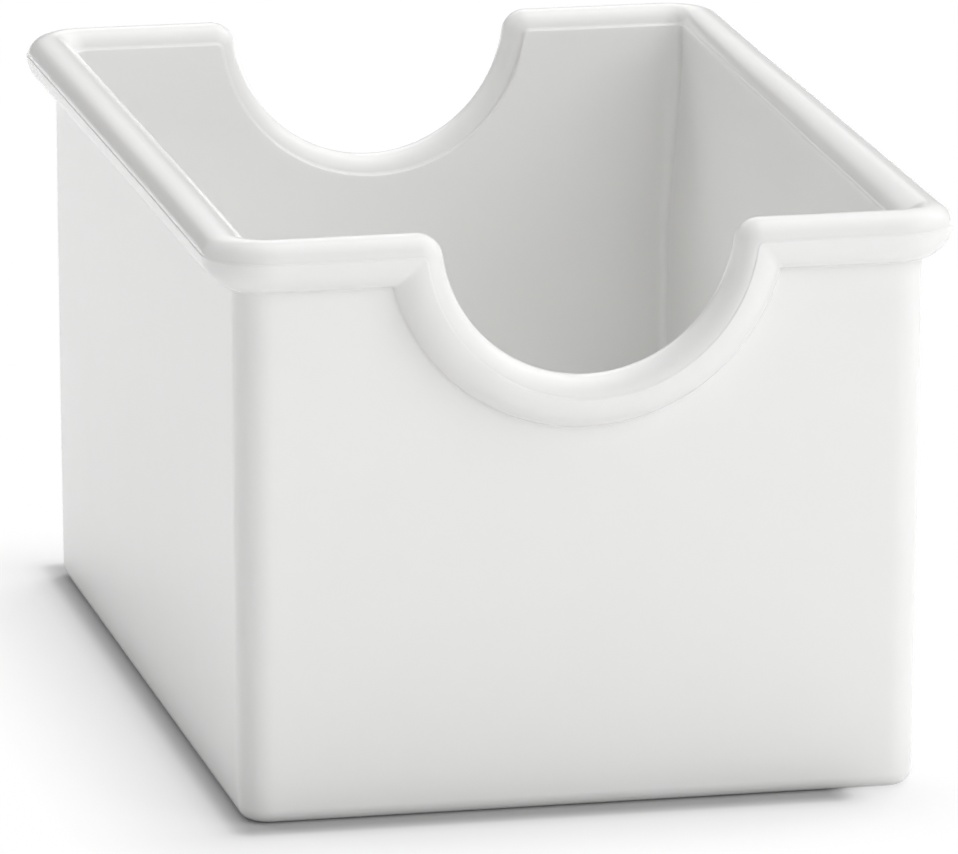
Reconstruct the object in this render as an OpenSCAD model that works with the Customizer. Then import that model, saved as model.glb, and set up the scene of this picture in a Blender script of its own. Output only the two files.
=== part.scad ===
// Counter-top holder for paper sugar packets: one injection moulding.
// A deep open box with drafted walls, a rounded rim that stands out all the
// way round, and a half-round finger cut-out in the front and the back wall.
// The rim follows the edge down and round each cut-out.
// Origin: middle of the base, on the table. Front is -Y, up is +Z.

/* [Overall] */
// Width over the rim, side to side
overall_w = 64; // [54:0.5:110]
// Depth over the rim, front to back
overall_d = 92; // [60:0.5:150]
// Height from the table to the top of the rim
overall_h = 50.2; // [36:0.1:90]

/* [Walls] */
// Thickness of the four walls
wall_t = 2; // [1.7:0.05:2.3]
// Thickness of the floor
floor_t = 2.2; // [1.4:0.1:4]
// Draft of the walls, in degrees
draft = 0.43; // [0.2:0.01:0.6]
// Outer radius of the upright corners, at the top
corner_r = 3; // [2.9:0.1:8]
// Radius of the lower outer edge that meets the table
foot_r = 2; // [0.8:0.1:2.4]
// Radius where the walls meet the floor inside
well_r = 0.5; // [0.2:0.05:0.55]

/* [Rim] */
// How far the rim stands out from the wall
rim_out = 2.6; // [2:0.1:3.4]
// Radius of the bead along the top of the rim, and its height
bead_r = 1.5; // [1.1:0.05:1.7]
// Radius of the underside that runs from the bead back to the wall
under_r = 3; // [2.7:0.1:4]
// Width of the ledge inside, between the bead and the wall
ledge = 0.35; // [0.15:0.05:0.5]

/* [Finger cut-outs] */
// Radius of each cut-out, at the edge of the bead
cut_r = 12.5; // [8:0.1:18]
// How far the centre of the cut-out lies below the top of the rim
cut_drop = 0.2; // [0:0.1:1.2]
// Radius of the shoulders where the rim turns down into the cut-out
shoulder_r = 2.2; // [1.9:0.1:2.6]

/* [Hidden] */
$fn = 96;
over = 1;             // overrun of every cut
wall_margin = 1;      // wall that a swept edge carries below the underside
arc_steps = 5;        // flats along each quarter of the rim's section
cut_flats = 4;        // flats of the underside round a cut-out, fewer, so that no edges coincide where it meets the straight rim

// Upright axes of the four corners.
axis_x = overall_w / 2 - rim_out - corner_r;
axis_y = overall_d / 2 - rim_out - corner_r;

// Section of the rim: x is outward from the wall's face, y is up from the top edge.
bead_in = ledge - wall_t + bead_r;
bead_out = rim_out - bead_r;
under_x = rim_out - under_r;
under_turn = acos(-under_x / under_r);
edge_depth = bead_r + under_r + wall_margin;
wall_len = overall_h / cos(draft);

// Points of an arc, from one angle to another.
function arc(x, y, r, from, to, flats = arc_steps) = [
    for (step = [0 : flats])
        let (turn = from + (to - from) * step / flats)
        [x + r * cos(turn), y + r * sin(turn)]
];

// The rim from the inside, over the top and back to the wall.
function rim_run(flats) = concat(
    [[-wall_t, -bead_r]],
    arc(bead_in, -bead_r, bead_r, 180, 90),
    arc(bead_out, -bead_r, bead_r, 90, 0),
    arc(under_x, -bead_r, under_r, 0, -under_turn, flats)
);
rim_points = rim_run(arc_steps);
cut_points = rim_run(cut_flats);

function edge_points(depth, points) = concat([[-wall_t, -depth]], points, [[0, -depth]]);

// Turns a point of the rim's section by the draft, onto the top of a wall.
function on_wall(p) = [
    corner_r + p[0] * cos(draft) + p[1] * sin(draft),
    overall_h - p[0] * sin(draft) + p[1] * cos(draft)
];

// Centres of the foot's and the well's arcs; x is outward from the corner's axis.
foot_x = corner_r - (overall_h - foot_r) * tan(draft) - foot_r / cos(draft);
well_x = corner_r - wall_t / cos(draft) - (overall_h - floor_t - well_r) * tan(draft)
    - well_r / cos(draft);

// Shoulder centres, in the wall's own plane, measured from the rim's top.
shoulder_z = -shoulder_r;
shoulder_x = sqrt(pow(cut_r + shoulder_r, 2) - pow(shoulder_r - cut_drop, 2));
shoulder_dip = asin((shoulder_r - cut_drop) / (cut_r + shoulder_r));

// One wall with its share of the floor.
module wall_section() {
    polygon(concat(
        [[0, floor_t]],
        arc(well_x, floor_t + well_r, well_r, -90, -draft),
        [for (p = rim_points) on_wall(p)],
        arc(foot_x, foot_r, foot_r, -draft, -90),
        [[0, 0]]
    ));
}

module edge_section(points = rim_points) {
    polygon(edge_points(edge_depth, points));
}

module straight_wall(length) {
    rotate([90, 0, 0]) linear_extrude(length, center = true) wall_section();
}

module box_shell() {
    for (turn = [0, 180]) rotate(turn) {
        translate([axis_x, 0, 0]) straight_wall(2 * axis_y);
        translate([0, -axis_y, 0]) rotate(-90) straight_wall(2 * axis_x);
        translate([axis_x, axis_y, 0]) rotate_extrude(angle = 90) wall_section();
        translate([-axis_x, axis_y, 0]) rotate(90) rotate_extrude(angle = 90) wall_section();
    }
    translate([-axis_x, -axis_y, 0]) cube([2 * axis_x, 2 * axis_y, floor_t]);
}

// Puts its children in the plane of the front wall, with the top edge of the wall at z = 0.
module on_front_wall() {
    translate([0, -axis_y - corner_r, overall_h]) rotate([draft, 0, 0]) children();
}

// What is cleared away before the curved rim goes in.
module cut_window() {
    reach = wall_t + rim_out + 2 * over;
    translate([-shoulder_x, -rim_out - over, shoulder_z])
        cube([2 * shoulder_x, reach, shoulder_r + over]);
    translate([0, -rim_out - over, -cut_drop])
        rotate([-90, 0, 0]) cylinder(r = cut_r + (bead_r + shoulder_r) / 2, h = reach);
}

module cut_rim() {
    translate([0, 0, -cut_drop]) rotate([90, 0, 0])
        rotate([0, 0, 180 + shoulder_dip])
            rotate_extrude(angle = 180 - 2 * shoulder_dip)
                translate([cut_r, 0]) rotate(90) edge_section(cut_points);
}

module shoulder() {
    translate([shoulder_x, 0, shoulder_z]) rotate([90, 0, 0]) rotate([0, 0, 90])
        rotate_extrude(angle = 90 - shoulder_dip)
            intersection() {
                translate([shoulder_r, 0]) mirror([1, -1]) edge_section();
                translate([0, -wall_t - over]) square([shoulder_r + over, wall_t + rim_out + 2 * over]);
            }
}

module windowed_shell() {
    difference() {
        box_shell();
        for (turn = [0, 180]) rotate(turn) on_front_wall() cut_window();
    }
}

module holder_body() {
    color("white") union() {
        union() {
            windowed_shell();
            for (turn = [0, 180]) rotate(turn) on_front_wall() cut_rim();
        }
        for (turn = [0, 180]) rotate(turn) on_front_wall() shoulder();
        for (turn = [0, 180]) rotate(turn) on_front_wall() mirror([1, 0, 0]) shoulder();
    }
}

holder_body();
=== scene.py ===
import bpy, math
from mathutils import Matrix, Vector


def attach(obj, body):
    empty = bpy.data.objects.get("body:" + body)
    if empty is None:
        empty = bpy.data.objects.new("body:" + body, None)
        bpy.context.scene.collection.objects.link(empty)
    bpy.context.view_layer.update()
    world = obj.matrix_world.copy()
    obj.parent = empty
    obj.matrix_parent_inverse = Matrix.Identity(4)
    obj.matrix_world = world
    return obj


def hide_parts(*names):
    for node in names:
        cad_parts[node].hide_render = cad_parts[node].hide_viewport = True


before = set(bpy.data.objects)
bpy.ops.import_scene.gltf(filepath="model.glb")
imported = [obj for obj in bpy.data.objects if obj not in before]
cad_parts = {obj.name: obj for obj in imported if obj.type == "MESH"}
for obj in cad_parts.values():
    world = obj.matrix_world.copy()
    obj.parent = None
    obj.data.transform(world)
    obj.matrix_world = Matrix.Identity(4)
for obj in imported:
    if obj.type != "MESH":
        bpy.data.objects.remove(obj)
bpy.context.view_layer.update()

mm = 0.001

# the moulding: sizes in mm, angles in degrees
moulding = {
    "rimWidth": 64, "rimDepth": 92, "height": 50.2,
    "wall": 2, "floor": 2.2, "draft": 0.43,
    "cornerRadius": 3, "footRadius": 1.3, "wellRadius": 0.5,
    "rimOut": 2.6, "underRadius": 3, "ledge": 0.35,
    "cutRadius": 12.5, "cutDrop": 0.2, "shoulderRadius": 2.2,
    # the quarter round under the bead starts at a fine ridge, a little below the bead's outer end
    "ridgeDepth": 1.62, "ridgeRise": 0.05,
    # the bead ends inside at this depth, where the wall has a soft edge and then runs straight
    "ledgeDepth": 1.5, "edgeRadius": 0.2, "edgeEnd": 0.5,
    # how the wall turns into the quarter round: out from the wall, and down from the round's foot
    "underBlend": [(0, 0.4), (0, 0.15), (0.018, 0.06), (0.07, 0), (0.17, -0.03)],
    "underTrim": 6, "underLift": 3,     # degrees that the round starts past its foot, and ends short
    # how the ridge turns into the bead: share of the way in, and down from the ridge
    "ridgeBlend": [(0, 0.1), (0.12, 0.06), (0.4, 0.02), (0.8, -0.01), (0.97, -0.03)],
    "parallelDepth": 5.2,       # how far down the wall the rows still follow the rim
    "levelDepth": 25,           # below this the rows are level
    # rows round the foot, up a stretch of wall, round the underside, bead, soft edge and well
    "footRows": 8, "wallRows": 8, "underRows": 14, "beadRows": 26, "edgeRows": 5, "wellRows": 5,
    "ledgeShares": (0.4, 0.7, 1.0),
    "cutColumns": 34, "shoulderColumns": 12, "straightColumns": 16,
    "cornerColumns": 14, "sideColumns": 26,
    "cutCrowding": 0.85, "straightCrowding": 1.25,     # powers that crowd the columns at the shoulder
    "mergeReach": 0.002,        # points closer than this become one
    # the slight unevenness: how far it moves the wall, the length of its waves, and its seed
    "waviness": 0.06, "waveLength": 28, "waveSeed": 4,
    # the gain on its noise, how much of it goes upward, and the share of the height that it sets in over
    "waveGain": 4, "waveUpShare": 0.5, "waveFadeShare": 0.3,
    # the right rim leans out towards the back, its inner edge runs askew, and its ledge is narrow
    "leanOut": 0.55, "askewOut": 0.4, "askewUp": 0.3, "askewFrom": 0.4, "ledgeTaken": 0.3,
    "leanFoot": 22, "leanTop": 4,       # the depths where all this sets in, and where it is full
    "leanStart": 18,                    # how far from the middle the lean sets in
    "askewReach": 1.9, "ledgeSoft": 0.1, "diagonalSoft": 1.0,   # how far out each fades away
}
# what the node tree takes as its inputs: lengths, and other numbers
treeLengths = ("rimWidth", "rimDepth", "height", "wall", "floor", "cornerRadius", "rimOut", "ledge",
               "cutRadius", "cutDrop", "shoulderRadius", "waviness", "waveLength",
               "leanOut", "askewOut", "askewUp", "ledgeTaken")
treeNumbers = ("draft", "waveSeed", "askewFrom")


def label(key):         # rimWidth is the input Rim Width
    return "".join(" " + letter if letter.isupper() else letter for letter in key).title()


# a formula on sockets: lets the node trees below be written as plain sums
class Term:
    def __init__(self, tree, socket):
        self.tree, self.socket = tree, socket

    def __add__(self, other):
        return calc("ADD", self, other)

    def __radd__(self, other):
        return calc("ADD", other, self)

    def __sub__(self, other):
        return calc("SUBTRACT", self, other)

    def __rsub__(self, other):
        return calc("SUBTRACT", other, self)

    def __mul__(self, other):
        return calc("MULTIPLY", self, other)

    def __rmul__(self, other):
        return calc("MULTIPLY", other, self)

    def __truediv__(self, other):
        return calc("DIVIDE", self, other)


def plug(tree, value, socket):
    if isinstance(value, Term):
        value = value.socket
    if isinstance(value, bpy.types.NodeSocket):
        tree.links.new(value, socket)
    else:
        socket.default_value = value


def linked(tree, kind, settings=None, **inputs):
    node = tree.nodes.new(kind)
    for name, value in (settings or {}).items():
        setattr(node, name, value)
    for name, value in inputs.items():
        plug(tree, value, node.inputs[name.replace("_", " ")])
    return node


def calc(operation, *values):
    tree = next(v.tree for v in values if isinstance(v, Term))
    node = linked(tree, "ShaderNodeMath", {"operation": operation})
    for value, socket in zip(values, node.inputs):
        plug(tree, value, socket)
    return Term(tree, node.outputs[0])


def mixed(a, b, share):
    return a + (b - a) * share


def ramped(value, start, end):      # 0 at start, 1 at end, smooth between
    t = calc("MINIMUM", calc("MAXIMUM", (value - start) / (end - start), 0), 1)
    return t * t * (3 - 2 * t)


def xyz(tree, x, y, z):
    return Term(tree, linked(tree, "ShaderNodeCombineXYZ", X=x, Y=y, Z=z).outputs[0])


def partsOf(tree, vector):
    node = linked(tree, "ShaderNodeSeparateXYZ", Vector=vector)
    return [Term(tree, node.outputs[i]) for i in range(3)]


def arcPoints(x, y, r, start, end, count):
    turns = [math.radians(start + (end - start) * i / count) for i in range(count + 1)]
    return [(x + r * math.cos(t), y + r * math.sin(t)) for t in turns]


# rows of the section, from under the base, up outside, over the rim and down to the floor:
# each row is (out from the wall's face, depth from the edge, share levelled, depth when level)
def sectionRows(s):
    tilt = math.radians(s["draft"])
    c, n = math.cos(tilt), math.sin(tilt)
    rimEnd, level = s["parallelDepth"], s["levelDepth"]
    steps = [i / s["wallRows"] for i in range(1, s["wallRows"] + 1)]

    def lowRow(e, z):       # a row given by how far outside the corner's axis and how high it is
        dx, dz = e - s["cornerRadius"], s["height"] - z
        return (dx * c + dz * n, rimEnd, 1.0, dz * c - dx * n)

    footX = (s["cornerRadius"] - (s["height"] - s["footRadius"]) * math.tan(tilt)
             - s["footRadius"] / c)
    wellX = (s["cornerRadius"] - s["wall"] / c - s["wellRadius"] / c
             - (s["height"] - s["floor"] - s["wellRadius"]) * math.tan(tilt))
    footArc = arcPoints(footX, s["footRadius"], s["footRadius"], -90, -s["draft"], s["footRows"])
    wellArc = arcPoints(wellX, s["floor"] + s["wellRadius"], s["wellRadius"], -s["draft"], -90,
                        s["wellRows"])
    rows = [lowRow(0, 0), lowRow(footX / 2, 0)]
    rows += [lowRow(*spot) for spot in footArc]
    wallTop = rows[-1][3]
    rows += [(0, rimEnd, 1.0, mixed(wallTop, level, share)) for share in steps]
    rows += [(0, rimEnd, 1 - share, level) for share in steps]

    # the quarter round of the underside, its ridge, and the bead, a half round across the rim
    wallIn, ridge, soft = -s["wall"], s["ridgeDepth"], s["edgeRadius"]
    underX = s["rimOut"] - s["underRadius"]
    underTurn = math.degrees(math.acos(-underX / s["underRadius"]))
    foot = ridge + s["underRadius"] * math.sin(math.radians(underTurn))
    bead = (s["rimOut"] + s["wall"] - s["ledge"]) / 2
    outerTurn = math.degrees(math.asin(1 - (ridge - s["ridgeRise"]) / bead))
    innerTurn = math.degrees(math.asin(1 - s["ledgeDepth"] / bead))
    beadEnd = s["rimOut"] - bead * (1 - math.cos(math.radians(outerTurn)))
    rim = [(out, foot + down) for out, down in s["underBlend"]]
    rim += arcPoints(underX, ridge, s["underRadius"], underTurn - s["underTrim"], s["underLift"],
                     s["underRows"])
    rim += [(mixed(s["rimOut"], beadEnd, share), ridge + down) for share, down in s["ridgeBlend"]]
    rim += arcPoints(s["rimOut"] - bead, bead, bead, -outerTurn, innerTurn - 180, s["beadRows"])
    rim += arcPoints(wallIn + soft, s["ledgeDepth"] + soft, soft, -90, -180, s["edgeRows"])
    rim.append((wallIn, s["ledgeDepth"] + s["edgeEnd"]))
    rim += [(wallIn, mixed(s["ledgeDepth"], rimEnd, share)) for share in s["ledgeShares"]]
    rows += [(out, depth, 0.0, level) for out, depth in rim]

    rows += [(wallIn, rimEnd, share, level) for share in steps]
    well = [lowRow(*spot) for spot in wellArc]
    rows += [(wallIn, rimEnd, 1.0, mixed(level, well[0][3], share)) for share in steps[:-1]]
    return rows + well + [lowRow(0, s["floor"])]


def sectionObject(s):
    rows = sectionRows(s)
    mesh = bpy.data.meshes.new("sectionRows")
    mesh.from_pydata([(out * mm, depth * mm, share) for out, depth, share, low in rows], [], [])
    levelled = mesh.attributes.new("levelDepth", "FLOAT", "POINT")
    levelled.data.foreach_set("value", [low * mm for out, depth, share, low in rows])
    helper = bpy.data.objects.new("sectionRows", mesh)
    bpy.context.scene.collection.objects.link(helper)
    return helper, len(rows)


# a grid of points, each moved to the place that is worked out from its two shares
def placedGrid(tree, columns, rows, place):
    grid = linked(tree, "GeometryNodeMeshGrid", Size_X=1, Size_Y=1,
                  Vertices_X=columns + 1, Vertices_Y=rows + 1)
    u, v = partsOf(tree, tree.nodes.new("GeometryNodeInputPosition").outputs[0])[:2]
    move = linked(tree, "GeometryNodeSetPosition", Geometry=grid.outputs["Mesh"],
                  Position=place(u + 0.5, v + 0.5))
    return move.outputs["Geometry"]


# one patch of the moulding: its columns run round the wall and its rows follow the section
def patch(tree, section, columns, rowCount, place):
    def spotFor(along, up):
        rowIndex = calc("ROUND", up * (rowCount - 1))

        def sampled(kind, value):
            sample = linked(tree, "GeometryNodeSampleIndex", {"data_type": kind},
                            Geometry=section, Value=value, Index=rowIndex)
            return sample.outputs["Value"]

        rowSpot = tree.nodes.new("GeometryNodeInputPosition").outputs[0]
        out, depth, levelled = partsOf(tree, sampled("FLOAT_VECTOR", rowSpot))
        named = linked(tree, "GeometryNodeInputNamedAttribute", {"data_type": "FLOAT"},
                       Name="levelDepth")
        levelDepth = Term(tree, sampled("FLOAT", named.outputs["Attribute"]))
        return place(along, out, depth, levelled, levelDepth)

    return placedGrid(tree, columns, rowCount - 1, spotFor)


def flipped(tree, geometry):
    return linked(tree, "GeometryNodeFlipFaces", Mesh=geometry).outputs["Mesh"]


def joined(tree, pieces):
    join = tree.nodes.new("GeometryNodeJoinGeometry")
    for piece in pieces:
        tree.links.new(piece, join.inputs[0])
    return join.outputs[0]


def mirrored(tree, geometry, scale):
    turned = linked(tree, "GeometryNodeTransform", Geometry=geometry, Scale=scale)
    return joined(tree, [geometry, flipped(tree, turned.outputs["Geometry"])])


def mouldingSockets(face):
    face.new_socket("Geometry", in_out="INPUT", socket_type="NodeSocketGeometry")
    face.new_socket("Section Rows", in_out="INPUT", socket_type="NodeSocketObject")
    for key in treeLengths + treeNumbers:
        face.new_socket(label(key), in_out="INPUT", socket_type="NodeSocketFloat")
    face.new_socket("Plastic", in_out="INPUT", socket_type="NodeSocketMaterial")
    face.new_socket("Geometry", in_out="OUTPUT", socket_type="NodeSocketGeometry")


# the stretches from the middle of the front round to the middle of the side: the columns of each,
# and the place of a point from how far along it is and from its row of the section
def stretches(tree, s, size, axisX, axisY):
    tiltCos, tiltSin = calc("COSINE", size["draft"]), calc("SINE", size["draft"])
    cutR, drop, shoulderR = size["cutRadius"], size["cutDrop"], size["shoulderRadius"]
    cutCount, shoulderCount, straightCount = (
        s[name] for name in ("cutColumns", "shoulderColumns", "straightColumns"))
    frontCount = cutCount + shoulderCount + straightCount
    quarter = math.pi / 2

    def reach(out, down):       # how far outside the corner's axis, and how high
        e = size["cornerRadius"] + out * tiltCos - down * tiltSin
        z = size["height"] - down * tiltCos - out * tiltSin
        return e, z

    def mitre(depth):           # where the straight edge and the cut's edge meet at this depth
        d = calc("MAXIMUM", depth, shoulderR)
        radius, rise = cutR + d, d - drop
        return calc("SQRT", radius * radius - rise * rise), d, calc("ARCSINE", rise / radius)

    # on the front wall, a to the side of its middle; where the rows are level, columns are even
    def frontSpot(a, down, first, count, along, out, levelled, levelDepth):
        level = axisX * ((along * count + first) / frontCount)
        e, z = reach(out, mixed(down, levelDepth, levelled))
        return xyz(tree, mixed(a, level, levelled), (axisY + e) * -1, z)

    def cutSpot(along, out, depth, levelled, levelDepth):
        dip = mitre(depth)[2]
        turn = (quarter - dip) * calc("POWER", along, s["cutCrowding"])
        a = (cutR + depth) * calc("SINE", turn)
        down = drop + (cutR + depth) * calc("COSINE", turn)
        return frontSpot(a, down, 0, cutCount, along, out, levelled, levelDepth)

    def shoulderSpot(along, out, depth, levelled, levelDepth):
        x, d, dip = mitre(depth)
        left = calc("MAXIMUM", shoulderR - depth, 0)
        turn = dip + (quarter - dip) * along
        a = x - left * calc("COSINE", turn)
        down = d - left * calc("SINE", turn)
        return frontSpot(a, down, cutCount, shoulderCount, along, out, levelled, levelDepth)

    def straightSpot(along, out, depth, levelled, levelDepth):
        a = mixed(mitre(depth)[0], axisX, calc("POWER", along, s["straightCrowding"]))
        return frontSpot(a, depth, cutCount + shoulderCount, straightCount, along, out, levelled,
                         levelDepth)

    def cornerSpot(along, out, depth, levelled, levelDepth):
        e, z = reach(out, mixed(depth, levelDepth, levelled))
        turn = along * quarter
        return xyz(tree, axisX + e * calc("SINE", turn), (axisY + e * calc("COSINE", turn)) * -1, z)

    def sideSpot(along, out, depth, levelled, levelDepth):
        e, z = reach(out, mixed(depth, levelDepth, levelled))
        return xyz(tree, axisX + e, axisY * (along - 1), z)

    return [(cutCount, cutSpot), (shoulderCount, shoulderSpot), (straightCount, straightSpot),
            (s["cornerColumns"], cornerSpot), (s["sideColumns"], sideSpot)]


# the slight unevenness of a moulded wall, as a wave and its strength, which fades out at the base
# so that the holder still sits flat
def unevenness(tree, s, size, spot, z):
    wave = linked(tree, "ShaderNodeTexNoise", {"noise_dimensions": "4D"}, Vector=spot, Detail=0,
                  Scale=calc("DIVIDE", 1, size["waveLength"]), W=size["waveSeed"])
    centre = linked(tree, "ShaderNodeVectorMath", {"operation": "SUBTRACT"})
    plug(tree, wave.outputs["Color"], centre.inputs[0])
    plug(tree, (0.5, 0.5, 0.5), centre.inputs[1])
    fade = calc("MINIMUM", z / (size["height"] * s["waveFadeShare"]), 1)
    strength = size["waviness"] * s["waveGain"] * fade
    return centre.outputs[0], xyz(tree, strength, strength, strength * s["waveUpShare"])


# how the right rim differs: it leans out, its inner edge runs askew, and its ledge is taken in
def rightRimShift(tree, s, size, axisX, axisY, x, y, z):
    wallX = axisX + size["cornerRadius"] - size["wall"]
    high = ramped(z, size["height"] - s["leanFoot"] * mm, size["height"] - s["leanTop"] * mm)
    along = y / (size["rimDepth"] * 0.5)
    lean = (high * ramped(x, s["leanStart"] * mm, wallX) * (along * 0.5 + 0.5)
            * size["leanOut"])
    # which side of the corner's diagonal: only the side's inner edge is moved
    diagonal = (calc("ABSOLUTE", y) - axisY) - (x - axisX)
    inner = high * ramped(diagonal, s["diagonalSoft"] * mm, -s["diagonalSoft"] * mm)
    askew = (inner * ramped(x, wallX + s["askewReach"] * mm, wallX + size["ledge"])
             * (along - size["askewFrom"]))
    taken = (inner * ramped(x, wallX + size["ledge"] + s["ledgeSoft"] * mm, wallX)
             * size["ledgeTaken"])
    return xyz(tree, lean + askew * size["askewOut"] + taken, 0, askew * size["askewUp"])


def mouldingTree(s, rowCount):
    tree = bpy.data.node_groups.new("holderMoulding", "GeometryNodeTree")
    mouldingSockets(tree.interface)
    given = tree.nodes.new("NodeGroupInput").outputs
    result = tree.nodes.new("NodeGroupOutput")
    size = {key: Term(tree, given[label(key)]) for key in treeLengths + treeNumbers}
    section = linked(tree, "GeometryNodeObjectInfo", Object=given["Section Rows"]).outputs["Geometry"]
    axisX = size["rimWidth"] * 0.5 - size["rimOut"] - size["cornerRadius"]
    axisY = size["rimDepth"] * 0.5 - size["rimOut"] - size["cornerRadius"]

    def baseSpot(u, v):
        return xyz(tree, axisX * u, axisY * (v - 1), 0)

    def insideSpot(u, v):
        return xyz(tree, axisX * u, axisY * (v - 1), size["floor"])

    # a quarter of the holder, then the whole
    patches = [patch(tree, section, columns, rowCount, place)
               for columns, place in stretches(tree, s, size, axisX, axisY)]
    frontCount = s["cutColumns"] + s["shoulderColumns"] + s["straightColumns"]
    patches.append(flipped(tree, placedGrid(tree, frontCount, s["sideColumns"], baseSpot)))
    patches.append(placedGrid(tree, frontCount, s["sideColumns"], insideSpot))
    whole = mirrored(tree, mirrored(tree, joined(tree, patches), (-1, 1, 1)), (1, -1, 1))
    merge = linked(tree, "GeometryNodeMergeByDistance", Geometry=whole,
                   Distance=s["mergeReach"] * mm)

    spot = tree.nodes.new("GeometryNodeInputPosition").outputs[0]
    x, y, z = partsOf(tree, spot)
    terms = [*unevenness(tree, s, size, spot, z), rightRimShift(tree, s, size, axisX, axisY, x, y, z)]
    shift = linked(tree, "ShaderNodeVectorMath", {"operation": "MULTIPLY_ADD"})
    for term, socket in zip(terms, shift.inputs):
        plug(tree, term, socket)
    move = linked(tree, "GeometryNodeSetPosition", Geometry=merge.outputs["Geometry"],
                  Offset=shift.outputs[0])
    smooth = linked(tree, "GeometryNodeSetShadeSmooth", Geometry=move.outputs["Geometry"])
    realize = linked(tree, "GeometryNodeRealizeInstances", Geometry=smooth.outputs["Geometry"])
    paint = linked(tree, "GeometryNodeSetMaterial", Geometry=realize.outputs["Geometry"],
                   Material=given["Plastic"])
    tree.links.new(paint.outputs["Geometry"], result.inputs["Geometry"])
    return tree


def plainMesh(source, name, tree, values):
    modifier = source.modifiers.new(tree.name, "NODES")
    modifier.node_group = tree
    for item in tree.interface.items_tree:
        if item.item_type == "SOCKET" and item.in_out == "INPUT" and item.name in values:
            modifier[item.identifier] = values[item.name]
    scene = bpy.context.scene
    scene.collection.objects.link(source)
    seen = bpy.context.evaluated_depsgraph_get()
    seen.update()
    mesh = bpy.data.meshes.new_from_object(source.evaluated_get(seen), depsgraph=seen)
    source.modifiers.remove(modifier)
    bpy.data.objects.remove(source)
    mesh.name = name
    piece = bpy.data.objects.new(name, mesh)
    scene.collection.objects.link(piece)
    return piece


# white moulded plastic; the sizes of its grain and ripple are in mm, that of its clouding per metre
plastic = {
    "colour": (0.87, 0.87, 0.862), "colourSpread": 0.006, "cloudScale": 45.0,
    "roughness": 0.2, "refraction": 1.5,
    "subsurface": 0.12, "subsurfaceScale": 0.002, "subsurfaceTint": (1.0, 0.95, 0.9),
    "grainSize": 0.35, "grainHeight": 0.0025, "rippleSize": 7, "rippleHeight": 0.012,
}


def whitePlastic(s):
    material = bpy.data.materials.new("whitePlastic")
    material.use_nodes = True
    tree = material.node_tree
    shader = tree.nodes["Principled BSDF"]
    place = linked(tree, "ShaderNodeTexCoord").outputs["Object"]

    # broad faint clouding of the colour
    cloud = linked(tree, "ShaderNodeTexNoise", Vector=place, Scale=s["cloudScale"], Detail=1.0)
    tint = linked(tree, "ShaderNodeMix", {"data_type": "RGBA"}, Factor=cloud.outputs["Fac"])
    for socket, spread in ((tint.inputs[6], -s["colourSpread"]), (tint.inputs[7], s["colourSpread"])):
        socket.default_value = (*[c * (1 + spread) for c in s["colour"]], 1)

    # fine mould grain over a slow ripple
    bumps = None
    for size, height, detail in ((s["rippleSize"], s["rippleHeight"], 1.0),
                                 (s["grainSize"], s["grainHeight"], 2.0)):
        noise = linked(tree, "ShaderNodeTexNoise", Vector=place, Scale=1 / (size * mm), Detail=detail)
        bump = linked(tree, "ShaderNodeBump", Height=noise.outputs["Fac"], Distance=height * mm,
                      Strength=1.0)
        if bumps:
            plug(tree, bumps, bump.inputs["Normal"])
        bumps = bump.outputs["Normal"]

    for name, value in (
            ("Base Color", tint.outputs[2]), ("Roughness", s["roughness"]), ("Normal", bumps),
            ("IOR", s["refraction"]), ("Subsurface Weight", s["subsurface"]),
            ("Subsurface Radius", s["subsurfaceTint"]), ("Subsurface Scale", s["subsurfaceScale"])):
        plug(tree, value, shader.inputs[name])
    return material


whiteSkin = whitePlastic(plastic)
helper, rowCount = sectionObject(moulding)
start = bpy.data.objects.new("holderStart", bpy.data.meshes.new("holderStart"))
values = {label(key): moulding[key] * mm for key in treeLengths}
values.update({label(key): moulding[key] for key in treeNumbers})
values["Draft"] = math.radians(moulding["draft"])
values.update({"Section Rows": helper, "Plastic": whiteSkin})
holder = plainMesh(start, "holderMoulding", mouldingTree(moulding, rowCount), values)
bpy.data.objects.remove(helper)
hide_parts("holder_body")
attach(holder, "root")
print("moulding made:", len(holder.data.vertices), "points,", len(holder.data.polygons), "faces")


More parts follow.
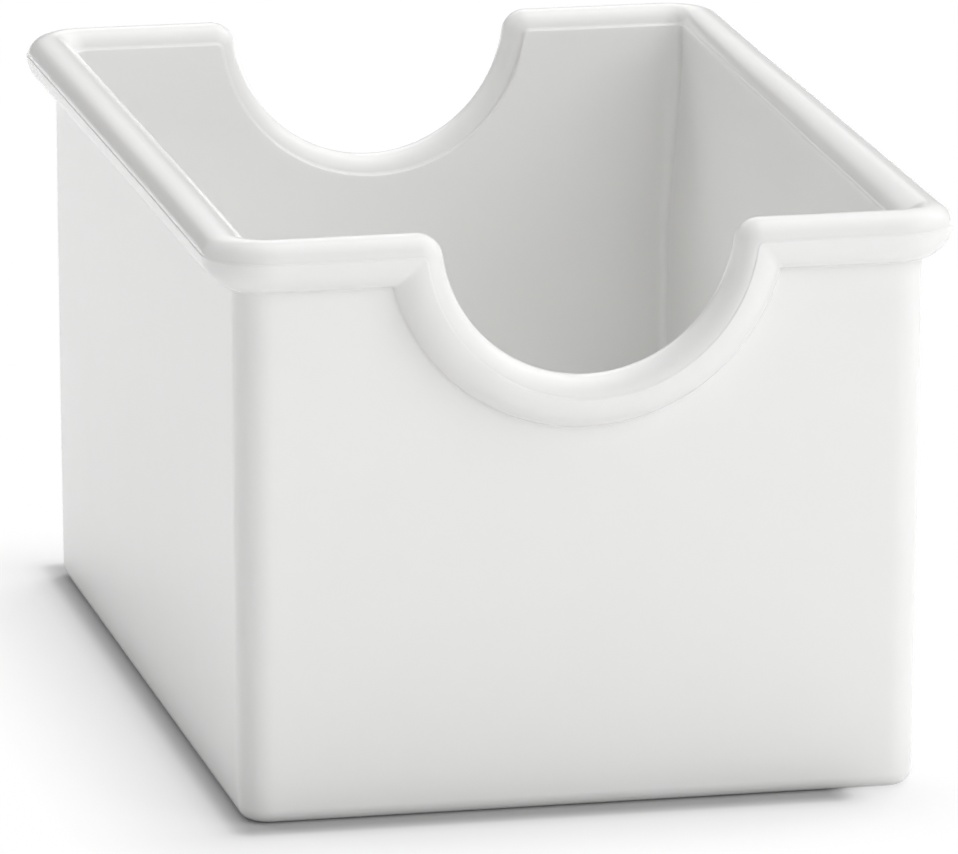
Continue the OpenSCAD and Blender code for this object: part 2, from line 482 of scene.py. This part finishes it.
# studio: white floor that keeps the shadow, with painted shade on it near the object, a bright surround
# and soft lamps
studio = {
    # the floor's dark colour near the object is painted shade, darker where the object's shadow falls
    "floorSize": 3.0, "floorPaintedShade": 0.45, "floorPale": 0.9, "floorRoughness": 0.9,
    # where the floor is painted dark as shade, in mm from side to side and from front to back, and how
    # far outside that it has turned to a white backdrop
    "paintedShadeFootprint": ((-28.5, 21), (-44, 44)), "backdropStart": 16,
    # how the backdrop sets in and the painted shade fades out: share of the distance, and share of the
    # white there
    "backdrop": [(0.0, 0.0), (0.08, 0.15), (0.14, 0.45), (0.25, 0.6),
                 (0.45, 0.7), (0.65, 0.8), (0.9, 0.95), (1.0, 1.0)],
    "glossReach": 200,          # how far out the plastic's gloss shows the white, in mm
    "surround": 0.12, "glossSurround": 0.03,    # light from all round, and what the gloss shows of it
    "lampDistance": 1.3, "aimHeight": 0.03,
    # name, turn from the front towards the right, height angle, power in W, width, height,
    # and whether the gloss of the plastic shows it
    "lamps": [
        ("rightHigh", 90, 60, 7.3, 1.6, 1.6, True),
        ("backHigh", 180, 60, 3.2, 1.6, 1.6, True),
        ("leftHigh", 270, 60, 0.6, 1.6, 1.6, True),
        ("top", 0, 89, 2.6, 1.2, 1.2, True),
        ("back", 180, 30, 1.3, 0.7, 0.7, True),
        ("rightBack", 135, 30, 8.6, 0.7, 0.7, False),
        ("leftBack", 225, 30, 3.9, 0.7, 0.7, False),
        ("rightFront", 45, 30, 3.3, 0.7, 0.7, False),
        ("front", 0, 30, 2.6, 0.7, 0.7, False),
        ("leftStrip", 225, 4, 0.7, 0.9, 0.12, False),
        ("backStrip", 135, 4, 1.4, 0.9, 0.12, False),
        ("frontStrip", 0, 4, 1.2, 0.9, 0.12, False),
        ("sideStrip", 45, 4, 1.0, 0.9, 0.12, False),
    ],
}


# the floor's colour is painted dark close to the object, as painted shade where the shadow lies, and it
# is a white backdrop away from it
def whiteFloor(s):
    material = bpy.data.materials.new("studioFloor")
    material.use_nodes = True
    tree = material.node_tree
    shader = tree.nodes["Principled BSDF"]
    shader.inputs["Roughness"].default_value = s["floorRoughness"]
    shader.inputs["Specular IOR Level"].default_value = 0.0
    place = partsOf(tree, linked(tree, "ShaderNodeTexCoord").outputs["Object"])
    away = [calc("MAXIMUM", calc("MAXIMUM", low * mm - spot, spot - high * mm), 0)
            for spot, (low, high) in zip(place, s["paintedShadeFootprint"])]
    distance = calc("SQRT", away[0] * away[0] + away[1] * away[1])
    ramp = linked(tree, "ShaderNodeValToRGB", Fac=distance / (s["backdropStart"] * mm))
    ramp.color_ramp.interpolation = "B_SPLINE"
    while len(ramp.color_ramp.elements) < len(s["backdrop"]):
        ramp.color_ramp.elements.new(0.5)
    for stop, (spot, white) in zip(ramp.color_ramp.elements, s["backdrop"]):
        stop.position, stop.color = spot, (white, white, white, 1)
    share = Term(tree, ramp.outputs["Color"])
    # the floor's colour runs from painted shade near the object to its own pale white away from it
    colour = linked(tree, "ShaderNodeMix", {"data_type": "RGBA"}, Factor=share)
    colour.inputs[6].default_value = (*[s["floorPaintedShade"]] * 3, 1)
    colour.inputs[7].default_value = (*[s["floorPale"]] * 3, 1)
    tree.links.new(colour.outputs[2], shader.inputs["Base Color"])

    # the white shows to the camera, and near the object to the gloss of the plastic
    ray = tree.nodes.new("ShaderNodeLightPath").outputs
    near = calc("LESS_THAN", distance, s["glossReach"] * mm)
    shown = Term(tree, ray["Is Glossy Ray"]) * near
    seen = calc("MINIMUM", Term(tree, ray["Is Camera Ray"]) + shown, 1) * share
    glow = linked(tree, "ShaderNodeEmission", Color=(1, 1, 1, 1), Strength=1.0)
    blend = linked(tree, "ShaderNodeMixShader", Fac=seen)
    tree.links.new(shader.outputs[0], blend.inputs[1])
    tree.links.new(glow.outputs[0], blend.inputs[2])
    tree.links.new(blend.outputs[0], tree.nodes["Material Output"].inputs["Surface"])
    return material


def makeFloor(s):
    half = s["floorSize"] / 2
    mesh = bpy.data.meshes.new("studioFloor")
    mesh.from_pydata([(-half, -half, 0), (half, -half, 0), (half, half, 0), (-half, half, 0)],
                     [], [(0, 1, 2, 3)])
    mesh.materials.append(whiteFloor(s))
    floor = bpy.data.objects.new("studioFloor", mesh)
    bpy.context.scene.collection.objects.link(floor)


def makeSurround(s):
    world = bpy.data.worlds.new("studio")
    bpy.context.scene.world = world
    world.use_nodes = True
    tree = world.node_tree
    back = tree.nodes["Background"]
    ray = tree.nodes.new("ShaderNodeLightPath").outputs
    around = mixed(s["surround"], s["glossSurround"], Term(tree, ray["Is Glossy Ray"]))
    plug(tree, mixed(around, 1, Term(tree, ray["Is Camera Ray"])), back.inputs["Strength"])
    back.inputs["Color"].default_value = (1, 1, 1, 1)


def makeLamps(s):
    for name, turn, height, power, wide, tall, shown in s["lamps"]:
        lamp = bpy.data.lights.new(name, "AREA")
        lamp.shape, lamp.size, lamp.size_y, lamp.energy = "RECTANGLE", wide, tall, power
        turn, height = math.radians(turn), math.radians(height)
        way = Vector((math.sin(turn) * math.cos(height), -math.cos(turn) * math.cos(height),
                      math.sin(height)))
        light = bpy.data.objects.new(name, lamp)
        light.visible_glossy = shown
        light.location = way * s["lampDistance"] + Vector((0, 0, s["aimHeight"]))
        light.rotation_euler = (-way).to_track_quat("-Z", "Y").to_euler()
        bpy.context.scene.collection.objects.link(light)


makeFloor(studio)
makeSurround(studio)
makeLamps(studio)
print("studio made")

# camera, fitted to the photograph's edges: a long lens a little left of the front and above;
# its place and sensor are in mm, its angles in degrees and its nearest and furthest in metres
camera = {"place": (-190.79, -859.09, 240.01), "yaw": 12.556, "pitch": 13.888, "roll": -0.094,
          "focalPixels": 10392.6, "imageWidth": 958, "sensorWidth": 36, "nearest": 0.05, "furthest": 20}


def makeCamera(s):
    yaw, pitch, roll = (math.radians(s[k]) for k in ("yaw", "pitch", "roll"))
    ahead = Vector((math.sin(yaw) * math.cos(pitch), math.cos(yaw) * math.cos(pitch),
                    -math.sin(pitch)))
    right = Vector((math.cos(yaw), -math.sin(yaw), 0))
    down = ahead.cross(right)
    turnedRight = math.cos(roll) * right + math.sin(roll) * down
    turnedDown = -math.sin(roll) * right + math.cos(roll) * down
    lens = bpy.data.cameras.new("photoCamera")
    lens.sensor_width, lens.sensor_fit = s["sensorWidth"], "HORIZONTAL"
    lens.lens = s["focalPixels"] * s["sensorWidth"] / s["imageWidth"]
    lens.clip_start, lens.clip_end = s["nearest"], s["furthest"]
    view = bpy.data.objects.new("photoCamera", lens)
    turn = Matrix((turnedRight, -turnedDown, -ahead)).transposed()
    view.matrix_world = Matrix.Translation(Vector(s["place"]) * mm) @ turn.to_4x4()
    bpy.context.scene.collection.objects.link(view)
    bpy.context.scene.camera = view


makeCamera(camera)
bpy.context.scene.view_settings.view_transform = "Standard"

bpy.context.view_layer.update()
